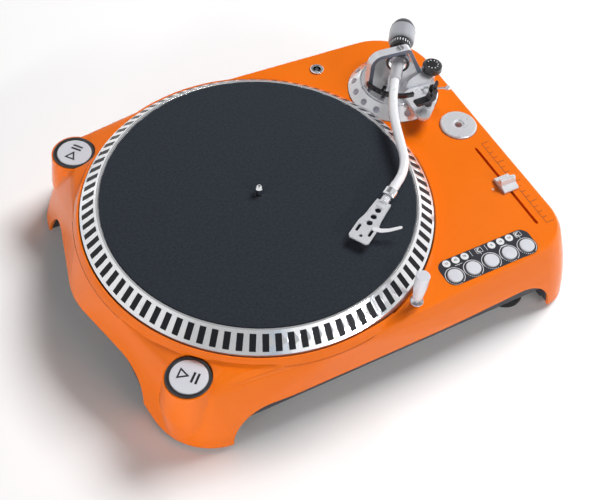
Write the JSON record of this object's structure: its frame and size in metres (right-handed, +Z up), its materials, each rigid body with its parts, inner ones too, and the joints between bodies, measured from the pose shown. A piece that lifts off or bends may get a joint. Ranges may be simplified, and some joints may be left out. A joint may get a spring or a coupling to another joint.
{
  "type": "dj turntable",
  "caption": "Direct-drive DJ turntable on four arched legs with an S-shaped tonearm, strobe-edged platter, felt slipmat, start buttons at two corners and a pitch fader.",
  "frame": {"origin": "under the middle of the base, on the surface it stands on", "axes": "+X right as the user faces it, +Y towards the rear, +Z up"},
  "size_m": [0.4544, 0.3598, 0.1421],
  "materials": {
    "orange_shell": "high-gloss lacquered",
    "dark_plastic": "fine texture",
    "black_plastic": "satin gloss",
    "rubber": "matte",
    "screw_steel": "blackened",
    "platter_aluminium": "polished, turned",
    "strobe_black": "satin",
    "magnet": "sintered",
    "spindle_steel": "polished",
    "felt": "felt",
    "board": "solder mask",
    "bearing_brass": "turned",
    "white_plastic": "pearl gloss",
    "panel_grey": "satin",
    "bright_metal": "polished",
    "satin_metal": "satin",
    "tube_silver": "pearl silver",
    "weight_grey": "satin",
    "contact_gold": "plated"
  },
  "bodies": {
    "housing": {"top_housing": "orange_shell", "bottom_cover": "dark_plastic", "cover_screws": "screw_steel", "rubber_feet": "rubber", "motor_stator": "board", "spindle_bearing": "bearing_brass", "front_start_bezel": "black_plastic", "rear_start_bezel": "black_plastic", "control_panel": "panel_grey", "indicator_lenses": "white_plastic", "fader_unit": "dark_plastic", "lamp_socket": "bright_metal", "headshell_socket": "bright_metal", "arm_base": "satin_metal", "main_board": "board", "transformer": "dark_plastic", "rear_panel": "black_plastic", "line_terminals": "contact_gold", "mains_inlet": "black_plastic", "usb_socket": "bright_metal", "power_switch": "black_plastic", "line_switch": "black_plastic"},
    "platter": {"platter": "platter_aluminium", "strobe_marks": "strobe_black", "rotor_magnet": "magnet", "spindle": "spindle_steel"},
    "slipmat": {"slipmat": "felt"},
    "front_start_cap": {"front_start_cap": "white_plastic"},
    "rear_start_cap": {"rear_start_cap": "white_plastic"},
    "panel_key_1": {"panel_key_1": "white_plastic"},
    "panel_key_2": {"panel_key_2": "white_plastic"},
    "panel_key_3": {"panel_key_3": "white_plastic"},
    "panel_key_4": {"panel_key_4": "white_plastic"},
    "panel_key_5": {"panel_key_5": "white_plastic"},
    "fader_knob": {"fader_knob": "bright_metal"},
    "target_lamp": {"target_lamp": "satin_metal"},
    "record_adaptor": {"record_adaptor": "bright_metal"},
    "height_ring": {"height_ring": "bright_metal"},
    "platform": {"arm_platform": "bright_metal", "pivot_yoke": "satin_metal", "pivot_screw": "bright_metal", "arm_bracket": "bright_metal", "arm_rest": "black_plastic"},
    "gimbal": {"gimbal_ring": "bright_metal"},
    "arm": {"arm_hub": "satin_metal", "arm_tube": "tube_silver", "headshell": "satin_metal", "finger_lift": "bright_metal", "weight_shaft": "spindle_steel"},
    "locking_collar": {"locking_collar": "bright_metal"},
    "weight_sleeve": {"weight_sleeve": "black_plastic"},
    "balance_dial": {"balance_dial": "black_plastic"},
    "counterweight": {"counterweight": "weight_grey", "weight_cap": "black_plastic"},
    "antiskate_knob": {"antiskate_knob": "black_plastic"},
    "cue_lever": {"cue_lever": "bright_metal"},
    "cue_lifter": {"cue_lifter": "black_plastic"},
    "rest_clamp": {"rest_clamp": "black_plastic"},
    "power_rocker": {"power_rocker": "black_plastic"},
    "line_slider": {"line_slider": "white_plastic"}
  },
  "joints": [
    {"name": "platter_spin", "type": "hinge", "parent": "housing", "child": "platter", "pos_m": [-0.04075, -0.003, 0.105], "axis": [0, 0, 1], "continuous": true},
    {"name": "slipmat_slip", "type": "hinge", "parent": "platter", "child": "slipmat", "pos_m": [-0.04075, -0.003, 0.105], "axis": [0, 0, 1], "continuous": true},
    {"name": "front_start_press", "type": "slide", "parent": "housing", "child": "front_start_cap", "axis": [0, 0, -1], "range_m": [0, 0.0015], "stiffness_N_per_m": 300, "springref_m": -0.002},
    {"name": "rear_start_press", "type": "slide", "parent": "housing", "child": "rear_start_cap", "axis": [0, 0, -1], "range_m": [0, 0.0015], "stiffness_N_per_m": 300, "springref_m": -0.002},
    {"name": "panel_key_1_press", "type": "slide", "parent": "housing", "child": "panel_key_1", "axis": [0, 0, -1], "range_m": [0, 0.001], "stiffness_N_per_m": 200, "springref_m": -0.001},
    {"name": "panel_key_2_press", "type": "slide", "parent": "housing", "child": "panel_key_2", "axis": [0, 0, -1], "range_m": [0, 0.001], "stiffness_N_per_m": 200, "springref_m": -0.001},
    {"name": "panel_key_3_press", "type": "slide", "parent": "housing", "child": "panel_key_3", "axis": [0, 0, -1], "range_m": [0, 0.001], "stiffness_N_per_m": 200, "springref_m": -0.001},
    {"name": "panel_key_4_press", "type": "slide", "parent": "housing", "child": "panel_key_4", "axis": [0, 0, -1], "range_m": [0, 0.001], "stiffness_N_per_m": 200, "springref_m": -0.001},
    {"name": "panel_key_5_press", "type": "slide", "parent": "housing", "child": "panel_key_5", "axis": [0, 0, -1], "range_m": [0, 0.001], "stiffness_N_per_m": 200, "springref_m": -0.001},
    {"name": "pitch_slide", "type": "slide", "parent": "housing", "child": "fader_knob", "axis": [0, 1, 0], "range_m": [-0.048, 0.048]},
    {"name": "lamp_push", "type": "slide", "parent": "housing", "child": "target_lamp", "axis": [0, 0, -1], "range_m": [0, 0.0035]},
    {"name": "adaptor_lift", "type": "slide", "parent": "housing", "child": "record_adaptor", "axis": [0, 0, 1], "range_m": [0, 0.02]},
    {"name": "height_turn", "type": "hinge", "parent": "housing", "child": "height_ring", "pos_m": [0.15773, 0.08003, 0.085], "axis": [0, 0, 1], "range_deg": [0, 300]},
    {"name": "platform_lift", "type": "slide", "parent": "housing", "child": "platform", "axis": [0, 0, 1], "range_m": [0, 0.006]},
    {"name": "arm_swing", "type": "hinge", "parent": "platform", "child": "gimbal", "pos_m": [0.15773, 0.08003, 0.1235], "axis": [0, 0, 1], "range_deg": [-15, 38.5]},
    {"name": "arm_dip", "type": "hinge", "parent": "gimbal", "child": "arm", "pos_m": [0.15773, 0.08003, 0.1235], "axis": [0.7986, -0.6018, 0], "range_deg": [-10, 1.3]},
    {"name": "collar_turn", "type": "hinge", "parent": "arm", "child": "locking_collar", "pos_m": [0.06113, -0.06476, 0.11622], "axis": [-0.8476, -0.5293, -0.0391], "range_deg": [0, 60]},
    {"name": "weight_slide", "type": "slide", "parent": "arm", "child": "weight_sleeve", "axis": [0.6013, 0.7979, 0.0419], "range_m": [-0.00201, 0.00801]},
    {"name": "weight_turn", "type": "hinge", "parent": "weight_sleeve", "child": "counterweight", "pos_m": [0.17397, 0.10157, 0.12463], "axis": [0.6013, 0.7979, 0.0419], "range_deg": [-360, 1440]},
    {"name": "dial_turn", "type": "hinge", "parent": "weight_sleeve", "child": "balance_dial", "pos_m": [0.17397, 0.10157, 0.12463], "axis": [0.6013, 0.7979, 0.0419], "continuous": true},
    {"name": "antiskate_turn", "type": "hinge", "parent": "platform", "child": "antiskate_knob", "pos_m": [0.19603, 0.07083, 0.105], "axis": [0, 0, 1], "range_deg": [0, 270]},
    {"name": "cue_turn", "type": "hinge", "parent": "platform", "child": "cue_lever", "pos_m": [0.17823, 0.05003, 0.103], "axis": [-0.454, -0.891, 0], "range_deg": [0, 50]},
    {"name": "lifter_lift", "type": "slide", "parent": "platform", "child": "cue_lifter", "axis": [0, 0, 1], "range_m": [0, 0.0025]},
    {"name": "clamp_turn", "type": "hinge", "parent": "platform", "child": "rest_clamp", "pos_m": [0.16923, 0.03003, 0.1245], "axis": [0, -1, 0], "range_deg": [0, 80]},
    {"name": "power_rock", "type": "hinge", "parent": "housing", "child": "power_rocker", "pos_m": [0.08125, 0.1697, 0.035], "axis": [0, 0, 1], "range_deg": [0, 16]},
    {"name": "line_slide", "type": "slide", "parent": "housing", "child": "line_slider", "axis": [1, 0, 0], "range_m": [0, 0.004]}
  ],
  "couplings": [
    {"joint": "platform_lift", "follows": "height_turn", "m_per_rad": 0.0011459},
    {"joint": "weight_slide", "follows": "weight_turn", "m_per_rad": 0.00031831},
    {"joint": "lifter_lift", "follows": "cue_turn", "m_per_rad": 0.0028648}
  ]
}
